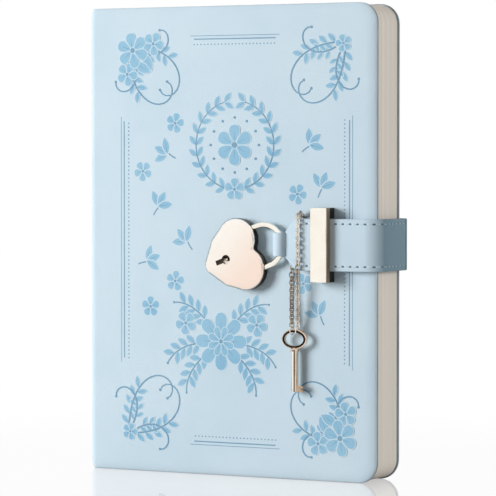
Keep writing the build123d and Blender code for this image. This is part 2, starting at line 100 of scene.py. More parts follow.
class Field:
    """A shader value; arithmetic on it adds Math nodes to its surface."""

    def __init__(self, surface, socket):
        self.surface = surface
        self.socket = socket

    def math(self, operation, first, second):
        return self.surface.node("ShaderNodeMath", {"operation": operation}, {0: first, 1: second})

    def __add__(self, other):
        return self.math("ADD", self, other)

    def __sub__(self, other):
        return self.math("SUBTRACT", self, other)

    def __rsub__(self, other):
        return self.math("SUBTRACT", other, self)

    def __mul__(self, other):
        return self.math("MULTIPLY", self, other)

    def __truediv__(self, other):
        return self.math("DIVIDE", self, other)

    __radd__ = __add__
    __rmul__ = __mul__

    def ramp(self, low, high):
        """0 below low and 1 above high, with a smooth rise between them."""
        settings = {"interpolation_type": "SMOOTHSTEP"}
        return self.surface.node("ShaderNodeMapRange", settings, {"Value": self, 1: low, 2: high})


class Surface:
    """The nodes of one material or of the room."""

    def __init__(self, tree):
        self.tree = tree

    def node(self, kind, settings, inputs, out=0):
        """Adds a node with its settings, then its inputs, and gives one of its outputs."""
        made = self.tree.nodes.new(kind)
        for label, value in settings.items():
            setattr(made, label, value)
        for label, value in inputs.items():
            if isinstance(value, Field):
                self.tree.links.new(value.socket, made.inputs[label])
            else:
                made.inputs[label].default_value = value
        return Field(self, made.outputs[out])


class Finish(Surface):
    """One procedural material: a principled shader and the nodes that feed it."""

    def __init__(self, name, **constants):
        self.material = bpy.data.materials.new(name)
        self.material.use_nodes = True
        super().__init__(self.material.node_tree)
        self.shader = self.tree.nodes["Principled BSDF"]
        for label, value in constants.items():
            socket = label.replace("_", " ").title().replace("Ior", "IOR")
            self.shader.inputs[socket].default_value = value

    def feed(self, label, value):
        self.tree.links.new(value.socket, self.shader.inputs[label])

    def place(self):
        return self.node("ShaderNodeTexCoord", {}, {}, "Object")

    def axes(self):
        place = self.place()
        return [self.node("ShaderNodeSeparateXYZ", {}, {0: place}, axis) for axis in range(3)]

    def noise(self, place, scale, detail=2.0):
        return self.node("ShaderNodeTexNoise", {}, {"Vector": place, "Scale": scale, "Detail": detail})

    def cells(self, place, scale):
        return self.node("ShaderNodeTexVoronoi", {}, {"Vector": place, "Scale": scale})

    def mix(self, share, first, second):
        return self.node("ShaderNodeMix", {"data_type": "RGBA"}, {0: share, 6: first, 7: second}, 2)

    def bump(self, height, distance, strength):
        inputs = {"Height": height, "Distance": distance, "Strength": strength}
        self.feed("Normal", self.node("ShaderNodeBump", {}, inputs))


def leather(name, pale, deep, grain, fold_painted_shade=None):
    """Soft artificial leather: fine pebbled grain, a faint cloudy tone and, where given, a painted shade
    on the strap's side run beyond its bend.
    """
    finish = Finish(name, specular_ior_level=0.35)
    place = finish.place()
    pebbles = finish.cells(place, grain)
    cloud = finish.noise(place, 30.0)
    colour = finish.mix(cloud.ramp(0.25, 0.75), deep, pale)
    if fold_painted_shade:
        x, y, _ = finish.axes()
        # Painted shade: beyond the strap's bend, towards its side run, the colour turns dark
        colour = finish.mix(x.ramp(*shade_x) * y.ramp(*shade_y), colour, fold_painted_shade)
    finish.feed("Base Color", colour)
    finish.feed("Roughness", 0.48 + 0.2 * finish.noise(place, 400.0))
    finish.bump(pebbles + 0.5 * finish.noise(place, grain / 3), 0.00012, 0.35)
    return finish.material


def paper(name, pale, deep, sheet):
    """Stacked leaves: fine lines between sheets on the edges and a faint fibre on the faces."""
    finish = Finish(name, specular_ior_level=0.2)
    place = finish.place()
    stretched = finish.node("ShaderNodeMapping", {}, {"Vector": place, "Scale": (2.0, 1.0 / sheet, 2.0)})
    sheets = finish.noise(stretched, 1.0, 3.0)
    finish.feed("Base Color", finish.mix(sheets.ramp(0.3, 0.7), deep, pale))
    finish.feed("Roughness", 0.75 + 0.15 * finish.noise(place, 300.0))
    finish.bump(sheets, 0.0001, 0.5)
    return finish.material


def metal(name, pale, deep, shine, scratch, slant_painted_shade=None):
    """Plated metal: a slight change of tone and shine, fine rubbing marks and, where given, a painted
    shade across the lock.
    """
    finish = Finish(name, metallic=1.0)
    place = finish.place()
    cloud = finish.noise(place, 120.0, 3.0)
    colour = finish.mix(cloud.ramp(0.3, 0.7), deep, pale)
    if slant_painted_shade:
        # Painted shade: the lock turns from its own pale gold at the upper left to a warmer, darker tone
        # at the lower right
        x, _, z = finish.axes()
        slant = (x - lock_low.x) / lock_width - (z - lock_low.z) / lock_height
        colour = finish.mix(slant.ramp(-0.7, 0.7), colour, slant_painted_shade)
    finish.feed("Base Color", colour)
    finish.feed("Roughness", shine + 0.12 * finish.noise(place, 900.0))
    finish.bump(finish.noise(place, scratch), 0.00003, 0.15)
    return finish.material


cover_leather = leather("cover_leather", (0.58, 0.70, 0.775, 1), (0.54, 0.67, 0.755, 1), 1500.0)
# Painted shade for the strap's side run past the fore-edge bend
strap_fold_painted_shade = (0.15, 0.24, 0.29, 1)
strap_leather = leather(
    "strap_leather", (0.57, 0.70, 0.78, 1), (0.53, 0.66, 0.755, 1), 1700.0, strap_fold_painted_shade
)
# Painted shade: a dark grey for the edge walls of the covers
edge_painted_shade = leather("edge_painted_shade", (0.26, 0.28, 0.29, 1), (0.20, 0.22, 0.23, 1), 3000.0)
# Painted shade for the thread on the strap's side run past the bend
thread_fold_painted_shade = (0.30, 0.41, 0.48, 1)
stitch_thread = leather(
    "stitch_thread", (0.68, 0.79, 0.86, 1), (0.54, 0.67, 0.76, 1), 4000.0, thread_fold_painted_shade
)
# Painted shade: dark patches standing for the shade in the needle holes
hole_painted_shade = leather("hole_painted_shade", (0.12, 0.19, 0.24, 1), (0.08, 0.13, 0.17, 1), 4000.0)
print_fill = leather("print_fill", (0.31, 0.53, 0.68, 1), (0.24, 0.46, 0.63, 1), 1500.0)
print_line = leather("print_line", (0.21, 0.37, 0.50, 1), (0.17, 0.32, 0.46, 1), 1500.0)
page_paper = paper("page_paper", (0.86, 0.80, 0.72, 1), (0.68, 0.62, 0.55, 1), 0.00035)
endpaper = paper("endpaper", (0.62, 0.60, 0.55, 1), (0.56, 0.54, 0.49, 1), 0.002)
grey_board = paper("grey_board", (0.40, 0.38, 0.35, 1), (0.32, 0.30, 0.28, 1), 0.0006)
# Painted shade: a warmer, darker tone towards the lock's lower right
lock_slant_painted_shade = (0.96, 0.78, 0.67, 1)
pale_gold = metal("pale_gold", (1.0, 0.97, 0.91, 1), (0.99, 0.94, 0.87, 1), 0.16, 1400.0, lock_slant_painted_shade)
antique_gold = metal("antique_gold", (0.97, 0.90, 0.81, 1), (0.40, 0.32, 0.25, 1), 0.12, 2500.0)
# Painted shade: a darker copy of the chain's gold for the back strand
strand_painted_shade_gold = metal("strand_painted_shade_gold", (0.46, 0.37, 0.29, 1), (0.12, 0.09, 0.07, 1), 0.14, 2500.0)
key_brass = metal("key_brass", (0.86, 0.69, 0.55, 1), (0.70, 0.53, 0.39, 1), 0.12, 1800.0)
cream_gold = metal("cream_gold", (1.0, 0.95, 0.86, 1), (0.97, 0.90, 0.80, 1), 0.18, 1400.0)
# Painted shade: a darker gold for the clasp bar's long sides and the key's bit
shaded_gold = metal("shaded_gold", (0.60, 0.43, 0.29, 1), (0.48, 0.34, 0.23, 1), 0.4, 1400.0)
# Painted shade: a near-black metal for the lock's walls and the clasp bar's legs
shade_painted_metal = metal("shade_painted_metal", (0.10, 0.075, 0.055, 1), (0.05, 0.04, 0.03, 1), 0.22, 1800.0)
# Painted reflection: a near-black metal for the key's bow front and the stripe down its shank
painted_dark_reflection = metal("painted_dark_reflection", (0.04, 0.03, 0.022, 1), (0.015, 0.011, 0.008, 1), 0.22, 1800.0)
steel = metal("steel", (0.62, 0.62, 0.62, 1), (0.45, 0.45, 0.46, 1), 0.3, 1500.0)


def finished(name, bm, *materials, smooth_angle=40.0):
    """Turns a bmesh into an object with its place in its mesh, smooth up to an angle."""
    mesh = bpy.data.meshes.new(name)
    bm.to_mesh(mesh)
    bm.free()
    for material in materials:
        mesh.materials.append(material)
    mesh.shade_smooth()
    mesh.set_sharp_from_angle(angle=math.radians(smooth_angle))
    piece = bpy.data.objects.new(name, mesh)
    bpy.context.collection.objects.link(piece)
    return piece


def thickened(bm, offset):
    """Extrudes every face of a flat sheet by an offset, which closes it into a slab."""
    made = bmesh.ops.extrude_face_region(bm, geom=bm.faces[:])
    verts = [item for item in made["geom"] if isinstance(item, bmesh.types.BMVert)]
    bmesh.ops.translate(bm, vec=offset, verts=verts)
    bmesh.ops.recalc_face_normals(bm, faces=bm.faces[:])


def cut_columns(bm, start, end, count):
    """Cuts a flat sheet across its length at evenly spaced places."""
    for step in range(count + 1):
        place = start + (end - start) * step / count
        geom = bm.verts[:] + bm.edges[:] + bm.faces[:]
        bmesh.ops.bisect_plane(bm, geom=geom, plane_co=(place, 0, 0), plane_no=(1, 0, 0))


def rim_edges(bm, depth, least):
    """Edges of a slab's face at a depth, beyond a place along its length."""
    edges = []
    for edge in bm.edges:
        flat = all(abs(vert.co.y - depth) < 1e-7 for vert in edge.verts)
        wall = any(abs(face.normal.y) < 0.5 for face in edge.link_faces)
        if flat and wall and max(vert.co.x for vert in edge.verts) > least:
            edges.append(edge)
    return edges


def round_rim(bm, depth, radius, segments, least=-1.0):
    """Rounds the edge of a slab's face at a depth, beyond a place along its length."""
    bmesh.ops.bevel(
        bm,
        geom=rim_edges(bm, depth, least),
        offset=radius,
        affect="EDGES",
        segments=segments,
        profile=0.5,
        material=-1,
    )


spine_flat = (back_y - front_y) / 2 - spine_radius
spine_bend = spine_radius * math.pi / 2
hinge_along = spine_flat + spine_bend + hinge_x - spine_x - spine_radius
groove_start, groove_end = hinge_along - 4.0 * MM, hinge_along + 1.0 * MM
bent_length = spine_bend + 8.0 * MM
bent_columns = 22


def round_spine(flat, side):
    """Place on the case of a point of the flat jacket: length from the spine's middle, depth, height."""
    along, depth, height = flat
    angle = min(max((along - spine_flat) / spine_radius, 0.0), math.pi / 2)
    reach = spine_radius - depth
    x = spine_x + spine_radius - reach * math.cos(angle) + max(along - spine_flat - spine_bend, 0.0)
    y = spine_middle_y - side * (min(along, spine_flat) + reach * math.sin(angle))
    return Vector((x, y, height))


def jacket(name, side, rim_reach):
    """Leather over one board and half the spine: laid flat, thinned at the hinge and bent round the spine.

    The slab is made too thick and then flattened, so that its round rim becomes a shallow roll.
    """
    bm = bmesh.new()
    length = spine_flat + spine_bend + fore_x - spine_x - spine_radius
    outline = ((0, 0), (length, 0), (length, cover_height), (0, cover_height))
    corners = [bm.verts.new((along, 0, height)) for along, height in outline]
    bm.faces.new(corners)
    bmesh.ops.bevel(
        bm,
        geom=corners[1:3],
        offset=corner_radius,
        affect="VERTICES",
        segments=corner_segments,
        profile=0.5,
        material=-1,
    )
    cut_columns(bm, spine_flat, spine_flat + bent_length, bent_columns)
    swelling = rim_reach / rim_depth
    swollen = case_thickness * swelling
    thickened(bm, (0, swollen, 0))
    round_rim(bm, 0, rim_reach, rim_segments, off_spine_middle)
    round_rim(bm, swollen, inner_rim, inner_rim_segments, off_spine_middle)
    # Painted shade: the edge walls take the dark grey second material
    for face in bm.faces:
        depth = face.calc_center_median().y
        face.material_index = int(rim_reach < depth < swollen - 1e-6)
    bmesh.ops.scale(bm, vec=(1, 1 / swelling, 1), verts=bm.verts[:])
    for vert in bm.verts:
        if groove_start < vert.co.x < groove_end:
            vert.co.y = min(vert.co.y, hinge_leather)
        vert.co = round_spine(vert.co, side)
    bmesh.ops.recalc_face_normals(bm, faces=bm.faces[:])
    piece = finished(name, bm, cover_leather, edge_painted_shade)
    return piece


front_jacket = jacket("front_jacket", 1, front_rim_reach)
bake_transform(front_jacket)
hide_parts("front_cover_skin", "spine_skin")
back_jacket = jacket("back_jacket", -1, back_rim_reach)
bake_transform(back_jacket)
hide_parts("back_cover_skin")

# Strap: tongue, loop, front run, bend and side run, laid out flat and then bent round the fore-edge
loop_radius = lining_low.y - strap_low.y
loop_middle = Vector((strap_low.x + loop_radius, lining_low.y, clasp_z))
loop_hole_radius = loop_radius - strap_thickness / 2
loop_half_height = 5.3 * MM
tongue_start = loop_middle.x + (loop_radius + loop_hole_radius) / 2
tongue_half_height = 5.8 * MM
tongue_taper = 5.0 * MM
tongue_curve = 2.6 * MM
tongue_segments = 5
loop_steps = 32
bend_columns = 14
bend_middle = Vector((strap_outer_x - bend_outer_radius, strap_outer_y + bend_outer_radius, 0))
bend_length = (bend_outer_radius - strap_thickness / 2) * math.pi / 2
front_run = bend_middle.x - tongue_start
strap_length = front_run + bend_length + flap_high.y - bend_middle.y


def round_fore_edge(flat):
    """Place on the strap of a point of the flat strip: length from the tongue, depth, height."""
    along, depth, height = flat
    share = min(max((along - front_run) / bend_length, 0.0), 1.0)
    angle = share * math.pi / 2
    reach = bend_outer_radius - depth
    x = bend_middle.x + min(along - front_run, 0.0) + reach * math.sin(angle)
    y = bend_middle.y - reach * math.cos(angle) + max(along - front_run - bend_length, 0.0)
    return Vector((x, y, height))


def strap_strip():
    """The strap from its tapered tongue to the end of its side run."""
    bm = bmesh.new()
    outline = (
        (0, -tongue_half_height),
        (tongue_taper, -strap_half_width),
        (strap_length, -strap_half_width),
        (strap_length, strap_half_width),
        (tongue_taper, strap_half_width),
        (0, tongue_half_height),
    )
    corners = [bm.verts.new((along, 0, clasp_z + rise)) for along, rise in outline]
    bm.faces.new(corners)
    bmesh.ops.bevel(
        bm,
        geom=[corners[1], corners[4]],
        offset=tongue_curve,
        affect="VERTICES",
        segments=tongue_segments,
        profile=0.5,
        material=-1,
    )
    cut_columns(bm, front_run, front_run + bend_length, bend_columns)
    thickened(bm, (0, strap_thickness, 0))
    round_rim(bm, 0, strap_rim, strap_rim_segments)
    round_rim(bm, strap_thickness, strap_rim, strap_rim_segments)
    for vert in bm.verts:
        vert.co = round_fore_edge(vert.co)
    bmesh.ops.recalc_face_normals(bm, faces=bm.faces[:])
    return bm


def tongue_loop(bm):
    """A short leather sleeve round the padlock's shackle, added to the strap."""
    tube = bmesh.new()
    section = [
        tube.verts.new((radius, 0, rise))
        for radius, rise in (
            (loop_hole_radius, -loop_half_height),
            (loop_radius, -loop_half_height),
            (loop_radius, loop_half_height),
            (loop_hole_radius, loop_half_height),
        )
    ]
    tube.faces.new(section)
    bmesh.ops.bevel(
        tube,
        geom=section,
        offset=strap_rim,
        affect="VERTICES",
        segments=strap_rim_segments,
        profile=0.5,
        material=-1,
    )
    bmesh.ops.spin(
        tube,
        geom=tube.edges[:],
        cent=(0, 0, 0),
        axis=(0, 0, 1),
        angle=2 * math.pi,
        steps=loop_steps,
        use_merge=True,
    )
    start_faces = [face for face in tube.faces if len(face.verts) > 4]
    bmesh.ops.delete(tube, geom=start_faces, context="FACES_ONLY")
    bmesh.ops.remove_doubles(tube, verts=tube.verts[:], dist=1e-6)
    bmesh.ops.recalc_face_normals(tube, faces=tube.faces[:])
    bmesh.ops.translate(tube, vec=loop_middle, verts=tube.verts[:])
    mesh = bpy.data.meshes.new("tongue_loop")
    tube.to_mesh(mesh)
    tube.free()
    bm.from_mesh(mesh)
    bpy.data.meshes.remove(mesh)


bm = strap_strip()
tongue_loop(bm)
strap_band = finished("strap_band", bm, strap_leather)
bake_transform(strap_band)
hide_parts("strap_front_face", "strap_front_lining", "strap_side_face", "strap_side_lining")

# Stitching along both edges of the strap
stitch_inset = 2.2 * MM
stitch_pitch = 3.6 * MM
stitch_first = 9.0 * MM
stitch_half = Vector((1.2, 0.26, 0.40)) * MM
hole_half = Vector((0.70, 0.06, 0.45)) * MM


def stitch_places(first, last):
    """Middles of the stitches of both rows, along the flat strip."""
    count = int((last - first) / stitch_pitch)
    rows = (clasp_z - strap_half_width + stitch_inset, clasp_z + strap_half_width - stitch_inset)
    return [(first + stitch_pitch * step, row) for row in rows for step in range(count + 1)]


def sewn(places, bend, half, shift):
    """Long flattened beads, half sunk in the leather, a shift further along than their places."""
    bm = bmesh.new()
    for along, height in places:
        bead = bmesh.ops.create_uvsphere(bm, u_segments=8, v_segments=6, radius=1.0)["verts"]
        bmesh.ops.scale(bm, vec=half, verts=bead)
        for vert in bead:
            vert.co = bend(vert.co + Vector((along + shift, 0, height)))
    bmesh.ops.recalc_face_normals(bm, faces=bm.faces[:])
    return bm


def sew(name, places, bend):
    """The thread of one strap part and dark patches of painted shade for the needle holes between its
    stitches, as two pieces.
    """
    thread = finished(name + "_stitches", sewn(places, bend, stitch_half, 0.0), stitch_thread)
    holes = finished(name + "_holes", sewn(places, bend, hole_half, stitch_pitch / 2), hole_painted_shade)
    return thread, holes


for piece in sew("strap", stitch_places(stitch_first, strap_length - stitch_pitch / 2), round_fore_edge):
    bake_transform(piece)

# Anchor of the strap on the back cover
anchor_bend_radius = 3.8 * MM
anchor_middle = Vector((anchor_high.x - anchor_bend_radius, anchor_high.y - anchor_bend_radius, 0))
anchor_bend = (anchor_bend_radius - strap_thickness / 2) * math.pi / 2
anchor_length = anchor_bend + anchor_middle.x - anchor_low.x
anchor_columns = 9


def round_back_edge(flat):
    """Place on the anchor of a point of the flat strip: length from the fore-edge, depth, height."""
    along, depth, height = flat
    angle = min(max(along / anchor_bend, 0.0), 1.0) * math.pi / 2
    reach = anchor_bend_radius - depth
    x = anchor_middle.x + reach * math.cos(angle) - max(along - anchor_bend, 0.0)
    y = anchor_middle.y + reach * math.sin(angle)
    return Vector((x, y, height))


def anchor_strip():
    """The strap's last run, from the rear bend along the back cover."""
    bm = bmesh.new()
    outline = (
        (0, -strap_half_width),
        (anchor_length, -strap_half_width),
        (anchor_length, strap_half_width),
        (0, strap_half_width),
    )
    bm.faces.new([bm.verts.new((along, 0, clasp_z + rise)) for along, rise in outline])
    cut_columns(bm, anchor_bend / (anchor_columns + 1), anchor_bend, anchor_columns)
    thickened(bm, (0, strap_thickness, 0))
    round_rim(bm, 0, strap_rim, strap_rim_segments)
    for vert in bm.verts:
        vert.co = round_back_edge(vert.co)
    bmesh.ops.recalc_face_normals(bm, faces=bm.faces[:])
    return bm


strap_anchor = finished("strap_anchor", anchor_strip(), strap_leather)
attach(strap_anchor, "back_cover")
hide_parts("strap_anchor_face", "strap_anchor_lining")
for piece in sew("anchor", stitch_places(anchor_bend, anchor_length - stitch_pitch), round_back_edge):
    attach(piece, "back_cover")


def merged_copy(node):
    """A bmesh of a frame node with its loose triangles joined."""
    bm = bmesh.new()
    bm.from_mesh(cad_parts[node].data)
    bmesh.ops.remove_doubles(bm, verts=bm.verts[:], dist=1e-6)
    return bm


def whole_flats(bm):
    """Joins the triangles of each flat, so that its shading stays flat up to a soft edge."""
    bmesh.ops.dissolve_limit(bm, angle_limit=math.radians(0.5), verts=bm.verts[:], edges=bm.edges[:])
    return bm


def polished(node, body, materials, tone=None, cut_depth=None):
    """A smooth-shaded copy of a metal node, whose flats stay flat; tone picks each face's material."""
    bm = whole_flats(merged_copy(node))
    if cut_depth is not None:
        geom = bm.verts[:] + bm.edges[:] + bm.faces[:]
        bmesh.ops.bisect_plane(bm, geom=geom, plane_co=(0, cut_depth, 0), plane_no=(0, 1, 0))
    bm.normal_update()
    for face in bm.faces:
        face.material_index = tone(face) if tone else 0
    piece = finished(node + "_polished", bm, *materials, smooth_angle=50.0)
    weighted = piece.modifiers.new("flats", "WEIGHTED_NORMAL")
    weighted.keep_sharp = True
    weighted.weight = 100
    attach(piece, body)
    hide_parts(node)


# Places and facings that part the tones of the metal, and so place its painted shade, painted reflection
# and painted highlight
plate_thickness = 3.9 * MM
plate_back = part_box("clasp_bar")[0].y + plate_thickness
key_low, key_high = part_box("key")
bow_height = 10.0 * MM
shank_radius = 1.65 * MM
bow_low = key_high.z - bow_height
shank_right = (key_low.x + key_high.x) / 2 + shank_radius
# The key's painted dark reflection goes on faces along stripe_way and on the bow's front; its painted
# highlight goes on faces below pale_facing
stripe_way = Vector((0.317, -0.948, 0.0))
stripe_facing = 0.985
front_facing = 0.995
wall_facing = 0.35
side_facing = 0.5
pale_facing = 0.1


def shade_painted_walls(face):
    """Walls of the lock, which take painted shade: a near-black metal standing in for the dark shade they
    reflect.
    """
    return int(abs(face.normal.y) < wall_facing)


def bar_tone(face):
    """Plate pale; painted shade on its long sides and a darker painted shade on the legs behind it."""
    if not shade_painted_walls(face):
        return 0
    if face.calc_center_median().y > plate_back:
        return 1
    return 2 if abs(face.normal.x) > side_facing else 0


def key_tone(face):
    """Painted dark reflection on the bow's front and on the shank's stripe, painted shade on the bit and a
    painted highlight on the shank's lock side.
    """
    middle = face.calc_center_median()
    on_bow = middle.z > bow_low
    if not on_bow and middle.x > shank_right:
        return 3
    bow_front = on_bow and face.normal.y < -front_facing
    stripe = face.normal.dot(stripe_way) > stripe_facing
    if bow_front or stripe:
        return 1
    return 2 if face.normal.x < pale_facing and not on_bow else 0


# Painted shade: the bar's long sides and its legs take darker metals than its plate
bar_metals = (cream_gold, shade_painted_metal, shaded_gold)
polished("clasp_bar", "front_cover", bar_metals, bar_tone, plate_back)
# Painted shade: the lock's walls take the near-black metal
polished("lock_case", "lock_case", (pale_gold, shade_painted_metal), shade_painted_walls)
polished("lock_back_plate", "lock_case", (pale_gold, shade_painted_metal), shade_painted_walls)
polished("shackle", "shackle", (cream_gold,))
# Painted reflection, shade and highlight on the key: near-black, darker gold and cream faces
key_metals = (key_brass, painted_dark_reflection, cream_gold, shaded_gold)
polished("key", "key", key_metals, key_tone)
polished("key_post", "lock_case", (key_brass,))


def islands(bm):
    """Groups of joined vertices, as arrays of places, in the order of the vertices."""
    reached = set()
    groups = []
    for start in bm.verts:
        if start in reached:
            continue
        reached.add(start)
        front = [start]
        group = []
        while front:
            vert = front.pop()
            group.append(vert.co)
            for edge in vert.link_edges:
                near = edge.other_vert(vert)
                if near not in reached:
                    reached.add(near)
                    front.append(near)
        groups.append(np.array(group))
    return groups


def wire_ring(mean_radius, wire_radius, stretch, steps):
    """A closed ring of round wire in the XZ plane, stretched along Z into a link."""
    bm = bmesh.new()
    bmesh.ops.create_circle(bm, segments=8, radius=wire_radius)
    bmesh.ops.translate(bm, vec=(mean_radius, 0, 0), verts=bm.verts[:])
    half_step = Matrix.Rotation(math.pi / steps, 3, "Y")
    bmesh.ops.rotate(bm, cent=(0, 0, 0), matrix=half_step, verts=bm.verts[:])
    bmesh.ops.spin(
        bm,
        geom=bm.edges[:],
        cent=(0, 0, 0),
        axis=(0, 1, 0),
        angle=2 * math.pi,
        steps=steps,
        use_merge=True,
    )
    bmesh.ops.recalc_face_normals(bm, faces=bm.faces[:])
    for vert in bm.verts:
        vert.co.z += math.copysign(stretch / 2, vert.co.z)
    mesh = bpy.data.meshes.new("wire_ring")
    bm.to_mesh(mesh)
    bm.free()
    return mesh


def wire_links(node, body, template, material):
    """Sets a round-wire link on each solid of a chain node, along the solid's own axes."""
    bm = bmesh.new()
    source = merged_copy(node)
    for group in islands(source):
        middle = group.mean(0)
        _, wide, long = np.linalg.svd(group - middle)[2][::-1]
        turn = Matrix((wide, np.cross(long, wide), long)).transposed().to_4x4()
        first = len(bm.verts)
        bm.from_mesh(template)
        bm.verts.ensure_lookup_table()
        placed = Matrix.Translation(middle) @ turn
        bmesh.ops.transform(bm, matrix=placed, verts=bm.verts[first:])
    source.free()
    piece = finished(node + "_wire", bm, material, smooth_angle=60.0)
    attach(piece, body)
    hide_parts(node)


link_wire_radius = 0.31 * MM
link_half_width = 1.05 * MM
link_stretch = 0.5 * MM
link_steps = 12
ring_wire_radius = 0.28 * MM
ring_mean_radius = 1.88 * MM
ring_steps = 24
chain_link = wire_ring(link_half_width, link_wire_radius, link_stretch, link_steps)
key_ring = wire_ring(ring_mean_radius, ring_wire_radius, 0.0, ring_steps)
wire_links("chain_collar", "front_cover", chain_link, antique_gold)
wire_links("chain_front_strand", "chain_drop", chain_link, antique_gold)
# The back strand takes the darker gold as painted shade
wire_links("chain_back_strand", "chain_drop", chain_link, strand_painted_shade_gold)
wire_links("key_rings", "chain_drop", key_ring, antique_gold)

# Printed ornament on the front cover: frame lines, scrolls, leaves and blossoms, drawn in millimetres
print_rise = 0.02 * MM
print_depth = 0.4 * MM
layer_rise = 0.001
vine_layers = 26
halo = 0.35
print_low = Vector((19.0, 0, 15.0))
print_high = Vector((135.0, 0, 198.0))
corner_size = 1.15
border_margin = 37.0
dot_pitch = 1.8
filled, bare, lined = range(3)


class Ornament:
    """The print in one mesh; each shape of a figure lies just above the last, so none share a plane."""

    def __init__(self):
        self.bm = bmesh.new()
        self.layer = 0

    def lift(self):
        """Height of the next shape, in the pen's own frame."""
        self.layer += 1
        return -layer_rise * self.layer

    def disc(self, segments, material):
        """A round flat face, to be drawn out into a shape."""
        made = bmesh.ops.create_circle(self.bm, cap_ends=True, segments=segments, radius=1.0)["verts"]
        made[0].link_faces[0].material_index = material
        return made


ornament = Ornament()


def pen_at(x, z, turn=0.0, size=1.0):
    """A drawing frame in millimetres from the cover's lower spine corner, turned clockwise."""
    place = Matrix.Translation((spine_x + x * MM, front_y, z * MM))
    return place @ Matrix.Rotation(math.radians(turn), 4, "Y") @ Matrix.Scale(size * MM, 4)


def moved(pen, x, z, turn=0.0, size=1.0):
    """The same frame moved, turned and resized within itself."""
    shift = Matrix.Translation((x, 0, z)) @ Matrix.Rotation(math.radians(turn), 4, "Y")
    return pen @ shift @ Matrix.Scale(size, 4)


def course(pen, steps, stride, bend=0.0, tighten=1.0):
    """Drawing frames along a path that bends more at each step."""
    frames = [pen]
    for step in range(steps):
        frames.append(moved(frames[-1], 0, stride, bend * tighten**step))
    return frames


def stroke(frames, width, thin=1.0):
    """Draws a band along a path."""
    bm = ornament.bm
    half = width / 2
    lift = ornament.lift()
    ends = [bm.verts.new(frames[0] @ Vector((side * half, lift, 0))) for side in (-1, 1)]
    edge = bm.edges.new(ends)
    for pen in frames[1:]:
        half *= thin
        made = bmesh.ops.extrude_edge_only(bm, edges=[edge])["geom"]
        edge = next(item for item in made if isinstance(item, bmesh.types.BMEdge))
        edge.link_faces[0].material_index = lined
        for vert in edge.verts:
            side = -1 if (vert.co - ends[0].co).length < (vert.co - ends[1].co).length else 1
            vert.co = pen @ Vector((side * half, lift, 0))
        ends = sorted(edge.verts, key=lambda vert: (pen.inverted() @ vert.co).x)


def flat_shape(pen, length, half_width):
    """A filled shape from the pen onwards, on a bare rim that parts it from those under it."""
    for rim, material in ((halo, bare), (0.0, filled)):
        lift = ornament.lift()
        for vert in ornament.disc(14, material):
            across, along, _ = vert.co
            x, z = half_width(across, along) + rim * across, (along + 1) * length / 2 + rim * along
            vert.co = pen @ Vector((x, lift, z))


def petal(pen, length, width):
    """A rounded petal, broad towards its outer end."""
    flat_shape(pen, length, lambda across, along: across * (0.68 + 0.32 * along) * width / 2)


def dot(pen, radius):
    """A small round spot."""
    lift = ornament.lift()
    for vert in ornament.disc(8, lined):
        vert.co = pen @ Vector((radius * vert.co.x, lift, radius * vert.co.y))


def leaf(pen, length, width):
    """A leaf, pointed at both ends, with its middle vein."""
    flat_shape(pen, length, lambda across, along: across * abs(across) * width / 2)
    stroke(course(moved(pen, 0, 0.1 * length), 1, 0.65 * length), 0.28, 0.4)


def blossom(pen, petals, radius):
    """Petals with a vein each round a dotted heart."""
    for step in range(petals):
        spoke = moved(pen, 0, 0, step * 360 / petals)
        petal(moved(spoke, 0, 0.16 * radius), 0.84 * radius, 5.0 / petals * 0.98 * radius)
        stroke(course(moved(spoke, 0, 0.26 * radius), 1, 0.42 * radius), 0.32, 0.4)
    dot(pen, 0.15 * radius)


def vine(pen, steps, stride, bend, tighten, leaves, size):
    """Leaves to both sides along the first part of a curling path, which is kept for its stem."""
    frames = course(pen, steps, stride, bend, tighten)
    for place in range(leaves):
        side = 1 if place % 2 else -1
        leaf(moved(frames[place + 1], side * 0.3, 0, side * 48), size, 0.48 * size)
    return frames


def stem(frames):
    """A thinning stem with a dot at its end."""
    stroke(frames, 0.7, 0.985)
    dot(frames[-1], 0.55)


def corner(pen, heavy):
    """Scrolls along both edges from a corner, with a bunch of blossoms where it is heavy."""
    swapped = pen @ Matrix(((0, 0, 1, 0), (0, 1, 0, 0), (1, 0, 0, 0), (0, 0, 0, 1)))
    ornament.layer = 0
    paths = []
    for hand in (pen, swapped):
        paths.append(vine(moved(hand, 2.0, 4.0, 4), 22, 1.9, 2.2, 1.14, 9, 4.6))
        paths.append(vine(moved(hand, 4.0, 6.0, 26), 16, 1.5, -5.0, 1.13, 5, 3.6))
    for path in paths:
        stem(path)
    if not heavy:
        blossom(moved(pen, 2.6, 2.6, 20), 5, 3.4)
        return
    for hand in (pen, swapped):
        leaf(moved(hand, 5.0, 9.0, 62), 8.0, 3.8)
        leaf(moved(hand, 1.0, 10.0, -24), 7.0, 3.4)
        blossom(moved(hand, 1.5, 13.5, 10), 5, 4.6)
    blossom(moved(pen, 4.0, 4.0, 20), 6, 7.0)


def border(pen, length, margin):
    """Two plain lines and a row of dots along one side of the frame."""
    ornament.layer = 0
    run = length - 2 * margin
    stroke(course(moved(pen, 0, margin), 1, run), 0.55)
    stroke(course(moved(pen, -1.5, margin - 2), 1, run + 4), 0.3)
    for step in range(int(run / dot_pitch) + 1):
        dot(moved(pen, 2.4, margin + dot_pitch * step), 0.36)


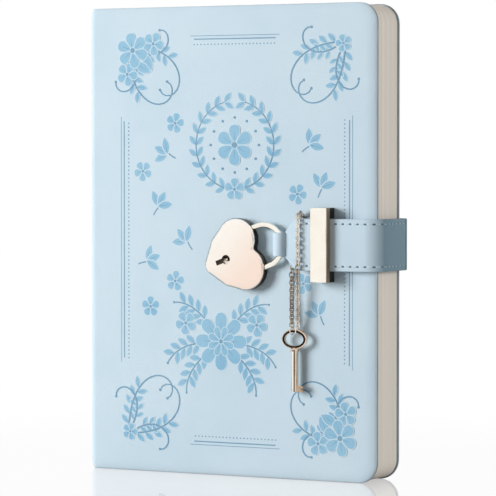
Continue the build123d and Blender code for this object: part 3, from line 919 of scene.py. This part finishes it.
def wreath(pen, radius):
    """Two leafy arcs that meet under a blossom, round a small one."""
    ornament.layer = 0
    steps = 22
    turn = 165.0 / steps
    stride = math.radians(turn) * radius
    for side in (-1, 1):
        frames = course(moved(pen, 0, -radius, side * (90 - turn / 2)), steps, stride, -side * turn)
        for place in frames[2::2]:
            leaf(moved(place, 0, 0, 42), 5.4, 2.5)
            leaf(moved(place, 0, 0, -42), 5.4, 2.5)
        stroke(frames, 0.7, 0.98)
    blossom(moved(pen, 0, -radius), 5, 5.0)
    blossom(pen, 6, 0.46 * radius)
    for step in range(12):
        dot(moved(moved(pen, 0, 0, step * 30), 0, 0.62 * radius), 0.6)


def bunch(pen):
    """A large blossom on crossed leafy stems."""
    for place, turn in enumerate((-128, -96, -40, 40, 96, 128)):
        ornament.layer = place % 2 * vine_layers
        root = moved(moved(pen, 0, 0, turn), 0, 9.0)
        stem(vine(root, 11, 1.9, math.copysign(3.0, turn), 1.12, 8, 5.6))
    ornament.layer = 2 * vine_layers
    blossom(pen, 8, 12.5)
    blossom(moved(pen, 0, 0, 22.5), 8, 6.5)
    for side in (-1, 1):
        blossom(moved(pen, side * 17.5, 7.5, side * 30), 5, 5.0)


def sprig(pen):
    """Three small leaves on a short stem."""
    ornament.layer = 0
    stroke(course(moved(pen, 0, -3.2), 4, 1.0, 6.0), 0.45)
    for turn in (-52, 0, 52):
        leaf(moved(pen, 0, 0, turn), 5.0, 2.3)


across, upward = print_high.x - print_low.x, print_high.z - print_low.z
corner_pens = (
    pen_at(print_low.x, print_low.z, 0, corner_size),
    pen_at(print_low.x, print_high.z, 90, corner_size),
    pen_at(print_high.x, print_high.z, 180, corner_size),
    pen_at(print_high.x, print_low.z, 270, corner_size),
)
for place, pen in enumerate(corner_pens):
    corner(pen, place % 2 == 1)
    border(moved(pen, 0, 0, 0, 1 / corner_size), across if place % 2 else upward, border_margin)
wreath(pen_at(77.0, 150.0), 20.0)
bunch(pen_at(70.0, 61.0, 0, 1.05))

# Scattered sprigs and blossoms: place across, place upward and turn
sprig_places = (
    (37, 122, 30),
    (52, 106, -40),
    (31, 97, 70),
    (121, 131, 20),
    (120, 74, -30),
    (42, 146, -65),
    (115, 150, 50),
)
blossom_places = (
    (46, 88, 10),
    (29, 138, 40),
    (109, 128, 25),
    (33, 76, 0),
    (112, 88, 50),
    (46, 160, 15),
)
for x, z, turn in sprig_places:
    sprig(pen_at(x, z, turn, 1.5))
for x, z, turn in blossom_places:
    ornament.layer = 0
    blossom(pen_at(x, z, turn), 5, 4.6)

bmesh.ops.translate(ornament.bm, vec=(0, -print_rise, 0), verts=ornament.bm.verts[:])
thickened(ornament.bm, (0, print_depth, 0))
cover_print = finished("cover_print", ornament.bm, print_fill, cover_leather, print_line)
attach(cover_print, "front_cover")

# Frame nodes that keep their own shape
node_finishes = {
    grey_board: ("front_board", "back_board", "spine_board"),
    endpaper: ("front_pastedown", "back_pastedown", "front_flyleaf", "spine_lining"),
    page_paper: ("text_block", "first_signature", "second_signature"),
    steel: ("bar_screws", "heel_pin", "latch_leaf", "shackle_spring"),
}
for material, nodes in node_finishes.items():
    for node in nodes:
        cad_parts[node].material_slots[0].material = material


def studio_floor():
    """A broad floor: white to the camera, with a mirrored image of the diary and a trace of its shadow."""
    finish = Finish("studio_floor", base_color=(floor_grey, floor_grey, floor_grey, 1), roughness=0.9)
    seen = finish.node("ShaderNodeLightPath", {}, {}, "Is Camera Ray")
    mirrored = finish.node("ShaderNodeLightPath", {}, {}, "Is Glossy Ray")
    shown = seen.math("MAXIMUM", seen, mirrored)
    white = finish.node("ShaderNodeEmission", {}, {"Color": (1, 1, 1, 1), "Strength": 1.0})
    mirror = finish.node("ShaderNodeBsdfAnisotropic", {}, {"Color": (1, 1, 1, 1), "Roughness": 0.04})
    lit = Field(finish, finish.shader.outputs[0])
    polished_white = finish.node("ShaderNodeMixShader", {}, {0: mirror_share, 1: white, 2: mirror})
    reach = finish.node("ShaderNodeVectorMath", {"operation": "LENGTH"}, {0: finish.place()}, "Value")
    near = shadow_share * (1.0 - reach.ramp(*shadow_reach))
    shaded = finish.node("ShaderNodeMixShader", {}, {0: near, 1: polished_white, 2: lit})
    surface = finish.node("ShaderNodeMixShader", {}, {0: shown, 1: lit, 2: shaded})
    finish.tree.links.new(surface.socket, finish.tree.nodes["Material Output"].inputs["Surface"])
    bm = bmesh.new()
    bmesh.ops.create_grid(bm, x_segments=1, y_segments=1, size=floor_half)
    finished("studio_floor", bm, finish.material)


def studio_world():
    """White to the camera; mirrored, a white room with a dim gap at the camera and a dim right side."""
    world = bpy.data.worlds.new("studio_world")
    bpy.context.scene.world = world
    world.use_nodes = True
    room = Surface(world.node_tree)
    way = room.node("ShaderNodeTexCoord", {}, {}, "Generated")

    def towards(direction, low, high):
        """1 where the room lies in a direction, and 0 away from it."""
        settings = {"operation": "DOT_PRODUCT"}
        facing = room.node("ShaderNodeVectorMath", settings, {0: way, 1: direction}, "Value")
        return facing.ramp(low, high)

    gap = towards(camera_way, 0.94, 0.985)
    dim = towards((1.0, 0.0, 0.0), 0.55, 0.95) * (1.0 - towards((0.0, 0.0, 1.0), 0.05, 0.15))
    mirrored = (1.0 - gap_depth * gap) * (1.0 - side_depth * dim)
    seen = room.node("ShaderNodeLightPath", {}, {}, "Is Camera Ray")
    shiny = room.node("ShaderNodeLightPath", {}, {}, "Is Glossy Ray")
    strength = seen + (1.0 - seen) * (shiny * mirrored + (1.0 - shiny) * ambient)
    background = room.tree.nodes["Background"]
    background.inputs["Color"].default_value = (1.0, 1.0, 1.0, 1)
    room.tree.links.new(strength.socket, background.inputs["Strength"])


def soft_lamp(name, place, size, power):
    """A square lamp aimed at the lock's height, which the metal does not mirror."""
    lamp = bpy.data.lights.new(name, "AREA")
    lamp.shape = "SQUARE"
    lamp.size = size
    lamp.energy = power
    holder = bpy.data.objects.new(name, lamp)
    bpy.context.collection.objects.link(holder)
    holder.location = place
    holder.rotation_euler = (lamp_target - Vector(place)).to_track_quat("-Z", "Y").to_euler()
    holder.visible_glossy = False


def photo_camera():
    """The photo's point of view."""
    camera = bpy.data.cameras.new("photo_camera")
    camera.sensor_width = 36.0
    camera.lens = camera_lens
    holder = bpy.data.objects.new("photo_camera", camera)
    bpy.context.collection.objects.link(holder)
    holder.location = camera_place
    holder.rotation_euler = (math.radians(90 - camera_dip), 0, math.radians(camera_turn))
    bpy.context.scene.camera = holder


# Studio
camera_place = (0.6529, -1.1969, 0.1477)
camera_turn = 28.5
camera_dip = 1.87
camera_lens = 217.7
camera_way = (0.477, -0.877, 0.05)
lamp_target = Vector((0.0, 0.0, 0.1))
ambient = 0.21
gap_depth = 0.5
side_depth = 0.75
floor_half = 6.0
floor_grey = 0.42
mirror_share = 0.46
shadow_share = 0.04
shadow_reach = (0.12, 0.4)
bpy.context.scene.view_settings.view_transform = "Standard"
studio_floor()
studio_world()
soft_lamp("key_lamp", (-1.35, -1.50, 0.50), 0.95, 47.0)
soft_lamp("side_lamp", (1.5, 0.35, 0.4), 0.8, 11.0)
soft_lamp("rear_lamp", (-0.6, 1.3, 0.9), 0.8, 16.0)
photo_camera()
